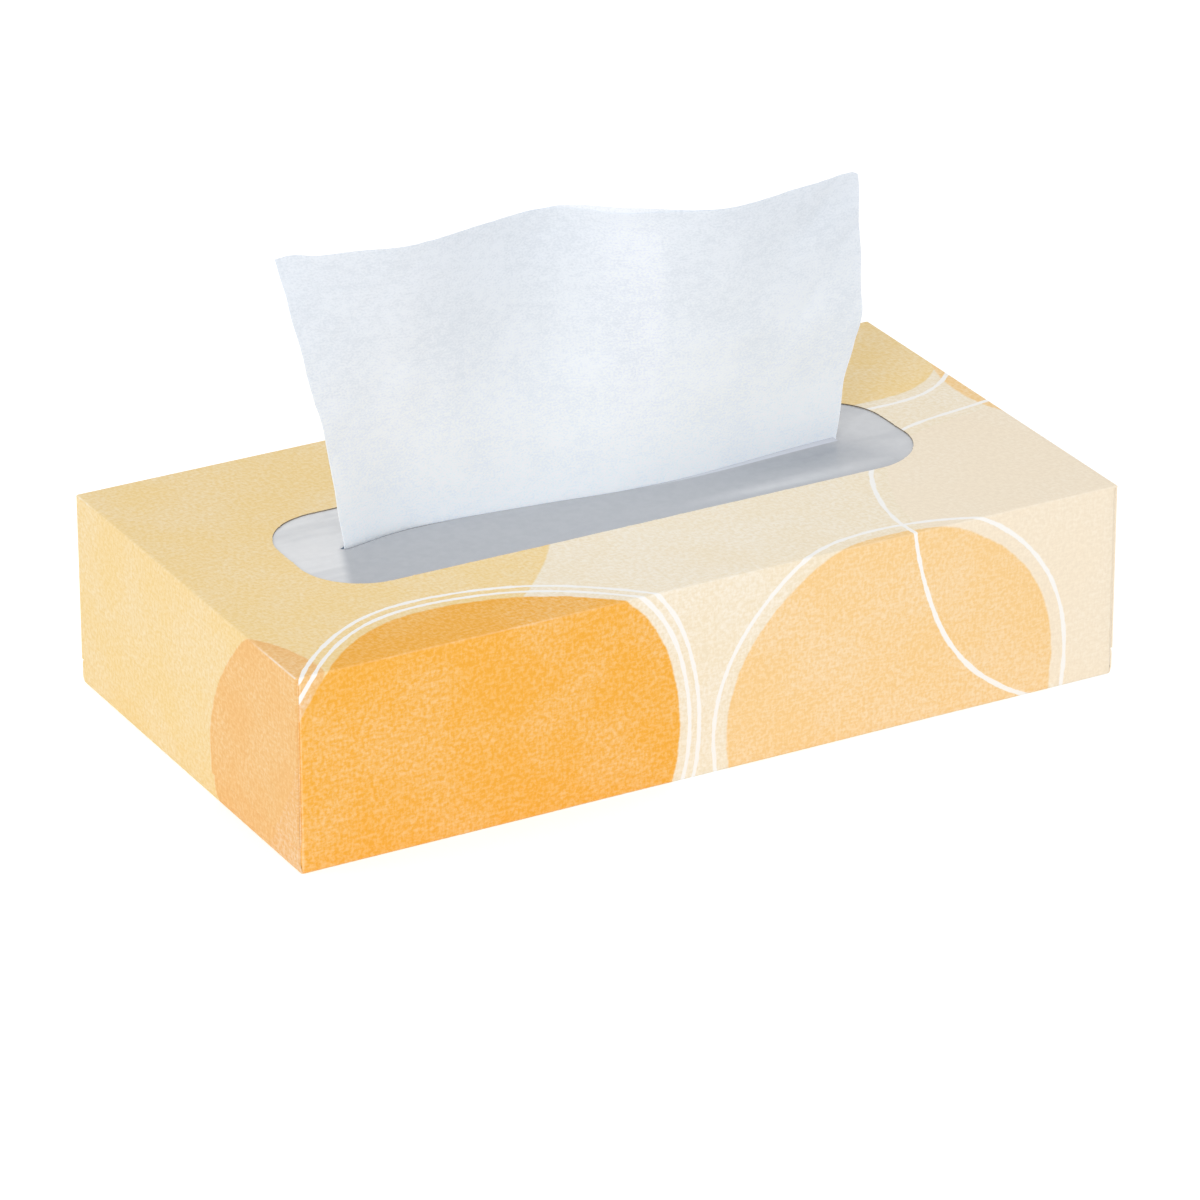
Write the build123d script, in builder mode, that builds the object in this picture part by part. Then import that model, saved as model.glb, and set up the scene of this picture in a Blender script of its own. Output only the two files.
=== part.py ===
"""A flat tissue box: a folded paperboard carton, a slit film under its opening,
the stack of interfolded tissues inside and the sheet that stands out of the slit.

Frame: X along the carton, Y towards its back, Z up, origin at the middle of the
underside. Millimetres.
"""

import os

from build123d import *

os.makedirs("parts", exist_ok=True)

# Carton, outside
carton_length = 230.0
carton_width = 122.0
carton_height = 52.0
board = 0.45  # paperboard thickness
crease_inside = 0.2  # inside radius of every fold

# Seam of the sleeve, at the lower back edge
glue_flap = 16.0
seam_setback = 0.4  # bare edge of the bottom panel, in from the back face

# End flaps
seam_height = 7.0  # lower edge of the outer flap above the underside
lower_flap_room = 2.0  # upper edge of the flap that comes up from below, under the top
flap_setback = 0.5  # side edges of the end flaps, in from the long faces
dust_gap = 30.0  # between the free edges of the front and back dust flaps
dust_setback = 1.6  # upper and lower edges of the dust flaps, in from the panels

# Opening in the top panel
opening_end_margin = 29.1  # board left at each end of the opening
opening_width = 45.2
opening_radius = 17.0

# Film under the opening
film = 0.08
film_margin = 9.0  # glued all round the opening
slit_end_margin = 16.4  # film between the slit and each end of the opening
slit_gap = 1.3
slit_end = 1.2  # radius that ends the slit

# Tissues
tissue = 0.25
stack_end_room = 10.6  # from the stack to the dust flaps
stack_side_room = 4.5  # from the stack to the front and back panels
stack_fold = 3.0  # radius of the stack's folded long edges
headroom = 1.9  # from the stack to the film
tissue_reach = 74.5  # of the standing sheet above the top panel
lip_height = 1.0  # how far the sheet runs straight above the film
leaf_room = 4.0  # from the leaf that still lies in the box to the stack's ends
leaf_back_room = 8.0  # and to the stack's back

overrun = 1.0

# Waves of the standing sheet as seen from above, in half spans: at the slit, low down,
# half way up and at the free edge. The sheet spreads and its waves grow as it rises.
slit_wave_shares = [
    (-1.02, 0.01), (-0.79, 0.06), (-0.55, 0.045), (-0.17, 0.0), (0.13, -0.04), (0.43, -0.05), (0.98, -0.02)
]
low_wave_shares = [
    (-1.045, 0.03), (-0.81, 0.062), (-0.57, 0.047), (-0.18, 0.03), (0.135, -0.038), (0.44, -0.075), (1.0, -0.05)
]
middle_wave_shares = [
    (-1.09, 0.07), (-0.84, 0.07), (-0.6, 0.05), (-0.175, 0.08), (0.145, -0.035), (0.45, -0.12), (1.03, -0.11)
]
edge_wave_shares = [
    (-1.18, 0.185), (-0.9, 0.085), (-0.65, 0.04), (-0.155, 0.14), (0.15, -0.035), (0.46, -0.17), (1.01, -0.1)
]
low_rise_share = 0.25
middle_rise_share = 0.5

half_length = carton_length / 2
half_width = carton_width / 2
crease_radius = crease_inside + board / 2  # of the board's middle, at every fold
crease = crease_inside + board  # outside radius of a fold
sleeve_half = half_length - 2 * board - crease
top_under = carton_height - board
film_under = top_under - film
stack_bottom = 2 * board
stack_top = film_under - headroom
opening_length = carton_length - 2 * opening_end_margin
half_span = opening_length / 2 - slit_end_margin
stack_half_length = half_length - 3 * board - stack_end_room
stack_half_width = half_width - board - stack_side_room
leaf_half = stack_half_length - leaf_room
leaf_back = stack_half_width - leaf_back_room


def wave_strip(shares, thickness):
    """Outline of a strip of this thickness along one wave, from its table of shares."""
    front = Spline(*[(x * half_span, y * half_span - thickness / 2) for x, y in shares])
    back = Spline(*[(x * half_span, y * half_span + thickness / 2) for x, y in shares])
    Line(front @ 0, back @ 0)
    Line(front @ 1, back @ 1)
    return front


# Carton: one strip of board, folded into a sleeve and closed at both ends
with BuildPart() as carton:
    # from half way up the back the strip goes over the top, down the front and along
    # the bottom to the same corner, where the glue flap folds in on top of it
    with BuildSketch(Plane.YZ) as sleeve:
        with BuildLine() as strip:
            FilletPolyline(
                (half_width - board / 2, carton_height / 2),
                (half_width - board / 2, carton_height - board / 2),
                (board / 2 - half_width, carton_height - board / 2),
                (board / 2 - half_width, board / 2),
                (half_width - seam_setback, board / 2),
                radius=crease_radius,
            )
        trace(line_width=board)
        with BuildLine() as flap_strip:
            FilletPolyline(
                (half_width - board / 2, carton_height / 2),
                (half_width - board / 2, board * 3 / 2),
                (half_width - board / 2 - glue_flap, board * 3 / 2),
                radius=crease_radius,
            )
        trace(line_width=board)
    extrude(amount=sleeve_half, both=True)

    # the innermost end layer: a dust flap folded in from the front and from the back
    with BuildSketch(Plane.XY.offset(2 * board + dust_setback)) as dust:
        with BuildLine() as dust_fold:
            FilletPolyline(
                (sleeve_half - crease, half_width - board / 2),
                (half_length - board * 5 / 2, half_width - board / 2),
                (half_length - board * 5 / 2, dust_gap / 2),
                radius=crease_radius,
            )
        trace(line_width=board)
        mirror(about=Plane.XZ)
        mirror(about=Plane.YZ)
    extrude(amount=carton_height - 3 * board - 2 * dust_setback)

    # the middle layer comes up from the bottom panel and the outer one comes down
    # from the top panel, so its lower edge makes the seam of the end
    with BuildSketch(Plane.XZ) as end_flaps:
        with BuildLine() as lower_fold:
            FilletPolyline(
                (sleeve_half - crease, board / 2),
                (half_length - board * 3 / 2, board / 2),
                (half_length - board * 3 / 2, carton_height - lower_flap_room),
                radius=crease_radius,
            )
        trace(line_width=board)
        with BuildLine() as upper_fold:
            FilletPolyline(
                (sleeve_half - crease, carton_height - board / 2),
                (half_length - board / 2, carton_height - board / 2),
                (half_length - board / 2, seam_height),
                radius=crease_radius,
            )
        trace(line_width=board)
        mirror(about=Plane.YZ)
    extrude(amount=half_width - flap_setback, both=True)

    # the opening that the torn-out panel left
    with BuildSketch(Plane.XY.offset(top_under - overrun)) as opening:
        RectangleRounded(opening_length, opening_width, opening_radius)
    extrude(amount=board + 2 * overrun, mode=Mode.SUBTRACT)

# Film: glued to the underside of the top panel, with a slit that follows the tissue
with BuildPart() as slit_film:
    with BuildSketch(Plane.XY.offset(film_under)) as film_sheet:
        Rectangle(opening_length + 2 * film_margin, opening_width + 2 * film_margin)
        with BuildLine() as slit:
            lip = wave_strip(slit_wave_shares, slit_gap)
        make_face(mode=Mode.SUBTRACT)
        with Locations(lip @ 0, lip @ 1):
            with Locations((0, slit_gap / 2)):
                Circle(slit_end, mode=Mode.SUBTRACT)
    extrude(amount=film)

# Stack: the clip of interfolded sheets, rounded along its folds
with BuildPart() as tissue_stack:
    with BuildSketch(Plane.YZ) as stack_end:
        with Locations((0, (stack_bottom + stack_top) / 2)):
            RectangleRounded(2 * stack_half_width, stack_top - stack_bottom, stack_fold)
    extrude(amount=stack_half_length, both=True)

# Standing sheet: a leaf on the stack, a straight run through the slit, and the waves
with BuildPart() as pop_up_tissue:
    with BuildSketch(Plane.XY.offset(stack_top)) as leaf:
        with BuildLine() as leaf_line:
            fold_line = Spline(*[(x * half_span, y * half_span) for x, y in slit_wave_shares])
            Polyline(fold_line @ 1, (leaf_half, leaf_back), (-leaf_half, leaf_back), fold_line @ 0)
        make_face()
    extrude(amount=tissue)
    with BuildSketch(Plane.XY.offset(stack_top)) as neck:
        with BuildLine() as neck_line:
            wave_strip(slit_wave_shares, tissue)
        make_face()
    extrude(amount=headroom + film + lip_height)
    with BuildSketch(Plane.XY.offset(top_under + lip_height)) as slit_wave:
        with BuildLine() as slit_wave_line:
            wave_strip(slit_wave_shares, tissue)
        make_face()
    with BuildSketch(Plane.XY.offset(carton_height + tissue_reach * low_rise_share)) as low_wave:
        with BuildLine() as low_line:
            wave_strip(low_wave_shares, tissue)
        make_face()
    with BuildSketch(Plane.XY.offset(carton_height + tissue_reach * middle_rise_share)) as middle_wave:
        with BuildLine() as middle_line:
            wave_strip(middle_wave_shares, tissue)
        make_face()
    with BuildSketch(Plane.XY.offset(carton_height + tissue_reach)) as edge_wave:
        with BuildLine() as edge_line:
            wave_strip(edge_wave_shares, tissue)
        make_face()
    loft()

carton.part.label = "carton"
slit_film.part.label = "slit_film"
tissue_stack.part.label = "tissue_stack"
pop_up_tissue.part.label = "pop_up_tissue"
export_step(carton.part, "parts/carton.step")
export_step(slit_film.part, "parts/slit_film.step")
export_step(tissue_stack.part, "parts/tissue_stack.step")
export_step(pop_up_tissue.part, "parts/pop_up_tissue.step")

for piece in (carton, slit_film, tissue_stack, pop_up_tissue):
    size = piece.part.bounding_box().size
    print(piece.part.label, len(piece.part.solids()), round(piece.part.volume), size, piece.part.is_valid)
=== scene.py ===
# %% [markdown]
# A flat tissue box, dressed for a studio picture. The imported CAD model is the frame:
# every piece made here stands in the same place and at the same size. All lengths
# are in metres, X along the box, Y towards its back and Z up.

from math import cos, exp, pi, radians, sin

import bmesh
import bpy
from mathutils import Euler, Matrix, Vector, noise


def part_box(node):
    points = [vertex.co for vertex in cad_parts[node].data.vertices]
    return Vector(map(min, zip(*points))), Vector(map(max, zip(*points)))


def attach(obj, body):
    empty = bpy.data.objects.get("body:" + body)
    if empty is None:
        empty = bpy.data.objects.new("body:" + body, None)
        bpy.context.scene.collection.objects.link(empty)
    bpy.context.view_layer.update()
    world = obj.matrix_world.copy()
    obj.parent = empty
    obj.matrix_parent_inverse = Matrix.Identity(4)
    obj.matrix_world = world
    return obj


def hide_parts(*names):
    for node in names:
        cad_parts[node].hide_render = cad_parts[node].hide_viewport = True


def rounded(values, digits=4):
    return [round(v, digits) for v in values]


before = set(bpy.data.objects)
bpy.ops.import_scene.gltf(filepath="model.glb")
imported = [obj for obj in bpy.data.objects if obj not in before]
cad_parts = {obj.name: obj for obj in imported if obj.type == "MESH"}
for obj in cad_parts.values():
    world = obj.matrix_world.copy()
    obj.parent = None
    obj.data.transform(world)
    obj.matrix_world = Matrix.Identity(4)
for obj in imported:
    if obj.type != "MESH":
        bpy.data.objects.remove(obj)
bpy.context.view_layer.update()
MM = 0.001
carton_low, carton_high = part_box("carton")
film_low, film_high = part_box("slit_film")
stack_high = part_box("tissue_stack")[1]
sheet_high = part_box("pop_up_tissue")[1]
box_length = carton_high.x - carton_low.x
box_width = carton_high.y - carton_low.y
box_height = carton_high.z
print("carton", rounded((box_length, box_width, box_height)))

# %% [markdown]
# The camera stands to the left of the front, a little above the box, and far away with
# a long lens, so the box's edges run almost parallel. An aim point and two angles say
# this more plainly than a list of coordinates would.

# %% Camera
scene = bpy.context.scene
camera_azimuth = radians(-28.896)
camera_elevation = radians(24.97)
camera_roll = radians(-0.105)
camera_distance = 1.785
camera_aim = Vector((0.0045, 0.007, 0.0178))
camera_turn = Euler((pi / 2 - camera_elevation, 0, camera_azimuth)).to_matrix()
camera_data = bpy.data.cameras.new("camera")
camera_data.sensor_width = 36.0
camera_data.lens = 211.93
camera = bpy.data.objects.new("camera", camera_data)
camera.rotation_euler = (camera_turn @ Matrix.Rotation(camera_roll, 3, "Z")).to_euler()
camera.location = camera_aim + camera_turn @ Vector((0, 0, camera_distance))
scene.collection.objects.link(camera)
scene.camera = camera
print("camera at", rounded(camera.location, 3))

# %% [markdown]
# The light is that of a white tent: it comes from everywhere, and a large lamp low at
# the front left adds a little more on the two upright sides than on the top. A single
# strong lamp would be simpler, but it would throw the sheet's shadow across the top.
# The world and the floor are pure white only to rays that look at them, so a white
# backdrop puts no extra light on the box, and the floor keeps its shadow.

# %% World and lamp
scene.view_settings.view_transform = "Standard"


def empty_tree(owner):
    """Switch on an empty node tree and return it."""
    owner.use_nodes = True
    owner.node_tree.nodes.clear()
    return owner.node_tree


def looking_rays(tree):
    """One for rays from the camera, a gloss or a clear piece, and zero for light."""
    path = tree.nodes.new("ShaderNodeLightPath")
    most = path.outputs["Is Camera Ray"]
    for kind in ("Is Glossy Ray", "Is Transmission Ray"):
        either = tree.nodes.new("ShaderNodeMath")
        either.operation = "MAXIMUM"
        tree.links.new(most, either.inputs[0])
        tree.links.new(path.outputs[kind], either.inputs[1])
        most = either.outputs[0]
    return most


scene.world = bpy.data.worlds.new("white_tent")
tent = empty_tree(scene.world)
tent_light, tent_seen = 0.79, 1.0  # strength as light, and to looking rays
tent_choice = tent.nodes.new("ShaderNodeMixShader")
tent_out = tent.nodes.new("ShaderNodeOutputWorld")
tent.links.new(looking_rays(tent), tent_choice.inputs[0])
for way, strength in ((1, tent_light), (2, tent_seen)):
    tent_cloth = tent.nodes.new("ShaderNodeBackground")
    tent_cloth.inputs["Color"].default_value = (1, 1, 1, 1)
    tent_cloth.inputs["Strength"].default_value = strength
    tent.links.new(tent_cloth.outputs[0], tent_choice.inputs[way])
tent.links.new(tent_choice.outputs[0], tent_out.inputs[0])

lamp_data = bpy.data.lights.new("front_left_lamp", "AREA")
lamp_data.shape = "DISK"
lamp_data.size = 1.6
lamp_data.energy = 47.5
lamp = bpy.data.objects.new("front_left_lamp", lamp_data)
lamp.location = (-2.75, -2.75, 1.4)
lamp.rotation_euler = (Vector((0, 0, 0.06)) - lamp.location).to_track_quat("-Z", "Y").to_euler()
scene.collection.objects.link(lamp)
print("lamp", round(lamp.location.length, 2), "m away")

# %% [markdown]
# The floor is one large matt plate, which takes the shadow of the box. A brighter lamp could
# turn it white, but that would bleach the box too. So it glows a little, to looking rays
# only, and ends in plain white away from the shadow.


# %% Floor
def make_piece(bm, name):
    """Turn a bmesh into an object of this name."""
    mesh = bpy.data.meshes.new(name)
    bm.to_mesh(mesh)
    bm.free()
    piece = bpy.data.objects.new(name, mesh)
    scene.collection.objects.link(piece)
    return piece


floor_bm = bmesh.new()
bmesh.ops.create_grid(floor_bm, x_segments=1, y_segments=1, size=6.0)
floor = make_piece(floor_bm, "floor")
floor_white = bpy.data.materials.new("white_floor")
floor_tree = empty_tree(floor_white)
floor_matt = floor_tree.nodes.new("ShaderNodeBsdfDiffuse")
floor_matt.inputs["Color"].default_value = (0.92, 0.92, 0.92, 1)
floor_glow = floor_tree.nodes.new("ShaderNodeEmission")
floor_lift = floor_tree.nodes.new("ShaderNodeMath")
floor_lift.operation = "MULTIPLY"
floor_lift.inputs[1].default_value = 0.42  # a little more than the lit floor lacks of white
floor_sum = floor_tree.nodes.new("ShaderNodeAddShader")
floor_out = floor_tree.nodes.new("ShaderNodeOutputMaterial")
floor_tree.links.new(looking_rays(floor_tree), floor_lift.inputs[0])
floor_tree.links.new(floor_lift.outputs[0], floor_glow.inputs["Strength"])
for way, part in enumerate((floor_matt, floor_glow)):
    floor_tree.links.new(part.outputs[0], floor_sum.inputs[way])
floor_tree.links.new(floor_sum.outputs[0], floor_out.inputs[0])
floor.data.materials.append(floor_white)
print("floor", rounded(floor.dimensions, 1))

# %% [markdown]
# Colours are picked on screen, as sRGB values from 0 to 255, but shaders work in linear
# light. One small helper turns the one into the other. A small class holds the nodes
# that every finish here needs, so that each finish reads as a short recipe.


# %% Helpers for finishes
def srgb(red, green, blue):
    """Linear colour from sRGB values of 0 to 255."""
    shares = [v / 255 for v in (red, green, blue)]
    return tuple(v / 12.92 if v <= 0.04045 else ((v + 0.055) / 1.055) ** 2.4 for v in shares) + (1.0,)


class Finish:
    """A material with one Principled shader and short ways to wire nodes to it."""

    def __init__(self, name, roughness, specular):
        self.material = bpy.data.materials.new(name)
        self.tree = empty_tree(self.material)
        self.shader = self.add("ShaderNodeBsdfPrincipled")
        self.shader.inputs["Roughness"].default_value = roughness
        self.shader.inputs["Specular IOR Level"].default_value = specular
        out = self.add("ShaderNodeOutputMaterial")
        self.tree.links.new(self.shader.outputs[0], out.inputs["Surface"])

    def add(self, kind, **settings):
        node = self.tree.nodes.new(kind)
        for name, value in settings.items():
            setattr(node, name, value)
        return node

    def plug(self, value, socket):
        """Wire an output to a socket, or set the socket to a plain value."""
        if isinstance(value, bpy.types.NodeSocket):
            self.tree.links.new(value, socket)
        else:
            socket.default_value = value

    def math(self, operation, first, second=0.0, clamp=False):
        node = self.add("ShaderNodeMath", operation=operation, use_clamp=clamp)
        self.plug(first, node.inputs[0])
        self.plug(second, node.inputs[1])
        return node.outputs[0]

    def vector(self, operation, first, second):
        node = self.add("ShaderNodeVectorMath", operation=operation)
        self.plug(first, node.inputs[0])
        self.plug(second, node.inputs[1])
        return node.outputs["Value" if operation == "DISTANCE" else "Vector"]

    def ease(self, value, low, high, at_low=0.0, at_high=1.0):
        """Go smoothly from one value to another while the input goes from low to high."""
        node = self.add("ShaderNodeMapRange", interpolation_type="SMOOTHSTEP")
        for socket, number in zip(node.inputs, (value, low, high, at_low, at_high)):
            self.plug(number, socket)
        return node.outputs["Result"]

    def blend(self, share, first, second):
        node = self.add("ShaderNodeMix", data_type="RGBA")
        colours = [socket for socket in node.inputs if socket.type == "RGBA"]
        self.plug(share, node.inputs["Factor"])
        self.plug(first, colours[0])
        self.plug(second, colours[1])
        return next(socket for socket in node.outputs if socket.type == "RGBA")

    def blotches(self, place, size, detail=2.0, stretch=(1, 1, 1)):
        """Noise whose blotches are about this size, in metres, as a value and a colour."""
        mapping = self.add("ShaderNodeMapping")
        mapping.inputs["Scale"].default_value = [share / size for share in stretch]
        self.plug(place, mapping.inputs["Vector"])
        node = self.add("ShaderNodeTexNoise")
        node.inputs["Scale"].default_value = 1.0
        node.inputs["Detail"].default_value = detail
        node.inputs["Roughness"].default_value = 0.6
        self.plug(mapping.outputs[0], node.inputs["Vector"])
        return node.outputs["Fac"], node.outputs["Color"]

    def axis(self, place, name):
        node = self.add("ShaderNodeSeparateXYZ")
        self.plug(place, node.inputs[0])
        return node.outputs[name]

    def object_place(self):
        return self.add("ShaderNodeTexCoord").outputs["Object"]

    def colour(self, value):
        self.plug(value, self.shader.inputs["Base Color"])

    def bump(self, height, depth, strength):
        node = self.add("ShaderNodeBump")
        node.inputs["Distance"].default_value = depth
        node.inputs["Strength"].default_value = strength
        self.plug(height, node.inputs["Height"])
        self.plug(node.outputs[0], self.shader.inputs["Normal"])


print("finish helpers ready")

# %% [markdown]
# Board, film and tissue all bend softly, so a few small helpers come back in every shape: an
# eased step from zero to one, a hill that falls away to both sides, and smooth noise.


# %% Helpers for shapes
def sign(value):
    return 1 if value > 0 else -1


def clamp(value):
    return min(1.0, max(0.0, value))


def ramp(value, low, high):
    """From zero at low to one at high, eased at both ends."""
    share = clamp((value - low) / (high - low))
    return share * share * (3 - 2 * share)


def hill(value, middle, reach):
    """One at the middle, and falling away to both sides."""
    return exp(-(((value - middle) / reach) ** 2))


def rough(*place):
    """Smooth noise at a place, between minus one and one."""
    return noise.noise(Vector(place))


print("half way up a ramp:", ramp(0.5, 0, 1))

# %% [markdown]
# The carton is one sheet of board. It could be copied from the CAD solid, but a real
# one is printed flat, cut and then folded, so it is made that way here: panels are laid
# out flat, the flat place of each point is kept as its UV map for the print, and only
# then is the blank folded. Thickness comes last, so a cut edge is as thick as the board.

# %% Sizes of the blank
board = 0.45 * MM
crease = 0.5 * MM  # outside radius of a fold
bend = crease * pi / 2  # board that a fold takes up
fold_steps = 6  # rows of faces round a fold
layer = board * 1.06  # a flap lies a hair off the one under it
seam_height = 7.0 * MM  # lower edge of the outer end flap
lower_flap_room = 0.8 * MM  # between the lower end flap and the top
dust_gap = 30.0 * MM  # between the dust flaps
dust_taper = 1.6 * MM  # how far their edges run in
glue_run = 15.0 * MM
bare_edge = 0.4 * MM  # of the bottom panel, in from the back
top_half = box_width / 2 - crease
front_run = box_height - 2 * crease
back_run = front_run - board
bottom_run = top_half + box_width / 2 - bare_edge
front_start = -(top_half + bend)
bottom_start = front_start - front_run - bend
back_start = top_half + bend
print("bottom, front, top and back:", rounded((bottom_run, front_run, 2 * top_half, back_run)))

# %% [markdown]
# The blank could be drawn as one outline and filled, but a fold needs rows of faces to bend.
# So each panel, fold and flap is a grid of its own, with narrow rows in the folds, and points
# that meet are merged. The top's long folds run on past the dust flaps, from which a hair's
# width of cut parts them, and end in a small round cap at each corner.


# %% Lay the panels flat
def turn_at(depth):
    """Where an end flap that has this many flaps over it starts to fold."""
    return box_length / 2 - depth * layer - crease


def parts(length):
    """Grid cells along a length, about 2.6 mm each."""
    return max(1, round(length / (2.6 * MM)))


def lay_panel(bm, u_span, s_span, u_parts, s_parts):
    """One flat rectangle of the blank as a grid, u along the box and s across it."""
    centre = Matrix.Translation((sum(u_span) / 2, sum(s_span) / 2, 0))
    scale = Matrix.Diagonal((abs(u_span[1] - u_span[0]), abs(s_span[1] - s_span[0]), 1, 1))
    bmesh.ops.create_grid(bm, x_segments=u_parts, y_segments=s_parts, size=0.5, matrix=centre @ scale)


sleeve_half = turn_at(2)
corner_half = turn_at(0)
cap_steps = fold_steps - 1  # the cap of a corner stops short of its pole
cap_end = corner_half + bend * cap_steps / fold_steps
weld = 2e-6  # points nearer than this become one
hair = 1.5e-6  # less than a weld, so the cut closes where a fold meets its own panel
flap_run = {
    "upper": box_height - crease - seam_height,
    "lower": box_height - crease - lower_flap_room,
    "dust": box_width / 2 - crease - dust_gap / 2,
}
flap_layer = {"upper": 0, "lower": 1, "dust": 2}
strips = [  # from the free edge of the bottom to the glue flap
    (crease - bare_edge, None),
    (2 * top_half, "lower"),
    (bend, "fold"),
    (front_run, "dust"),
    (bend, "corner"),
    (2 * top_half, "upper"),
    (bend, "corner"),
    (back_run, "dust"),
    (bend, "fold"),
    (glue_run, None),
]
blank = bmesh.new()
s_here = bottom_start - bottom_run
for width, kind in strips:
    s_span = (s_here, s_here + width)
    s_here = s_span[1]
    s_parts = fold_steps if kind in ("fold", "corner") else parts(width)
    lay_panel(blank, (-sleeve_half, sleeve_half), s_span, parts(2 * sleeve_half), s_parts)
    for side in (-1, 1):
        if kind == "corner":
            cut_span = (s_span[0] + hair, s_span[1]) if s_here < 0 else (s_span[0], s_span[1] - hair)
            lay_panel(blank, (side * sleeve_half, side * corner_half), cut_span, 1, s_parts)
            lay_panel(blank, (side * corner_half, side * cap_end), cut_span, cap_steps, s_parts)
        if kind not in flap_run:
            continue
        turn = turn_at(flap_layer[kind])
        end = turn + bend + flap_run[kind]
        if turn > sleeve_half:
            lay_panel(blank, (side * sleeve_half, side * turn), s_span, 1, s_parts)
        lay_panel(blank, (side * turn, side * (turn + bend)), s_span, fold_steps, s_parts)
        end_parts = parts(flap_run[kind]) * (4 if kind == "lower" else 1)
        lay_panel(blank, (side * (turn + bend), side * end), s_span, end_parts, s_parts)
bmesh.ops.remove_doubles(blank, verts=blank.verts, dist=weld)
print("flat blank:", len(blank.verts), "points,", len(blank.faces), "faces")

# %% [markdown]
# A fold turns a strip of board through a quarter circle. So a point's place in the made
# up carton follows from its flat place alone: go along the panel, round the fold, and
# on along the next panel. Panels also bow a little, because board is never quite flat,
# and under the seam of each end the flaps below press out until they are almost flush.

# %% Fold the blank
tiny = 1e-6  # slack in comparing places
top_sag = 0.15 * MM
side_bow = 0.25 * MM
uneven_bow = 0.12 * MM
loose_edge = 0.05 * MM  # how far the outer end flap stands off at the seam
press_out = 0.36 * MM  # how far the flaps under it press out below the seam


def sleeve_at(s):
    """Place and outward direction in the (y, z) plane of the point at s on the sleeve."""
    side = sign(s)
    left = abs(s) - top_half
    if left <= 0:
        return (s, box_height), (0.0, 1.0)
    if left <= bend:
        y, z = sin(left / crease), cos(left / crease)
        return (side * (top_half + crease * y), box_height - crease + crease * z), (side * y, z)
    left -= bend
    run, base = (front_run, 0.0) if side < 0 else (back_run, board)
    if left <= run:
        return (side * box_width / 2, box_height - crease - left), (side, 0.0)
    left -= run
    if left <= bend:
        y, z = cos(left / crease), -sin(left / crease)
        return (side * (top_half + crease * y), base + crease + crease * z), (side * y, z)
    return (side * (top_half - left + bend), base), (0.0, -1.0)


def layers_over(s):
    """How many end flaps lie over the end flap of the panel at s."""
    if abs(s) < top_half + tiny:
        return 0
    return 1 if s < bottom_start + tiny else 2


def bow(u, s):
    """How far a panel bows out of its plane. The underside stays flat to stand on."""
    slow = rough(u * 14, s * 14, 3.1) * uneven_bow
    ends = max(0.0, 1 - (u / sleeve_half) ** 4)
    if abs(s) <= top_half:
        return ends * (1 - (s / top_half) ** 2) * (slow - top_sag)
    down = (abs(s) - top_half - bend) / (front_run if s < 0 else back_run)
    return ends * 4 * down * (1 - down) * (side_bow + slow) if 0 < down < 1 else 0.0


def pressed_out(height):
    """How far the flaps under the outer one press out below its lower edge."""
    under_seam = 1 - ramp(height, seam_height - 1.2 * MM, seam_height)
    return press_out * ramp(height, 0.3 * MM, 2 * MM) * under_seam


def corner_cap(u, s):
    """A place on the round cap that ends a long fold of the top."""
    y, z = sleeve_at(s)[0]
    side = sign(u)
    turned = (abs(u) - corner_half) / crease
    middle = Vector((side * corner_half, top_half if s > 0 else -top_half, box_height - crease))
    across = Vector((0, y - middle.y, z - middle.z))
    return middle + across * cos(turned) + Vector((side * crease * sin(turned), 0, 0))


def fold(u, s):
    """Where the point at (u, s) of the flat blank goes when the carton is made up."""
    (y, z), (out_y, out_z) = sleeve_at(s)
    side = sign(u)
    depth = layers_over(s)
    past = abs(u) - turn_at(depth)
    in_corner = top_half + tiny < abs(s) < top_half + bend - tiny
    if in_corner and abs(u) > corner_half:
        return corner_cap(u, s)
    if past <= 0 or in_corner:
        lift = bow(u, s)
        return Vector((u, y + out_y * lift, z + out_z * lift))
    x = turn_at(depth) + crease * sin(min(past / crease, pi / 2))
    drop = crease * (1 - cos(past / crease)) if past <= bend else crease + past - bend
    if depth == 0 and past > bend:
        loose = (drop / (box_height - seam_height)) ** 3
        x += loose_edge * loose * (1 + 0.6 * rough(s * 22, side * 4.0, 0.7))
    if depth == 1:
        x += pressed_out(drop)
    if depth == 2:
        x += pressed_out(z) * clamp(past / bend)
    place = Vector((side * x, y - out_y * drop, z - out_z * drop))
    if depth == 2:
        narrow = dust_taper / (front_run / 2) * clamp((past - bend) / (6 * MM))
        place.z += (box_height / 2 - place.z) * narrow
    return place


print("a front corner folds to", rounded(fold(sleeve_half, front_start)))

# %% [markdown]
# Before the fold, each corner of each face keeps its flat place as a UV coordinate, in
# metres. The lower end flaps are printed to carry on from the upper ones, a little out
# of register. Each point also keeps how light its crease is: ink cracks first where a sharp
# fold meets a corner, and the folds, the bottom one most, get a painted highlight too.

# %% Keep the flat places
off_along, off_across = 0.7 * MM, 0.8 * MM  # how far the lower end flaps' print is off
front_wear = (36 * MM, 50 * MM)  # off the middle: where the end folds' wear sets in and is full
back_wear = (50 * MM, 58 * MM)


def print_place(u, s, on_lower_flap):
    """The place in the print of a point of the blank."""
    if not on_lower_flap:
        return u, s
    side = sign(u)
    height = max(0.0, abs(u) - turn_at(1) - bend) + crease
    carried_on = turn_at(0) + bend + box_height - crease - height
    return side * carried_on + off_along, bottom_start - s - top_half + off_across


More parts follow.
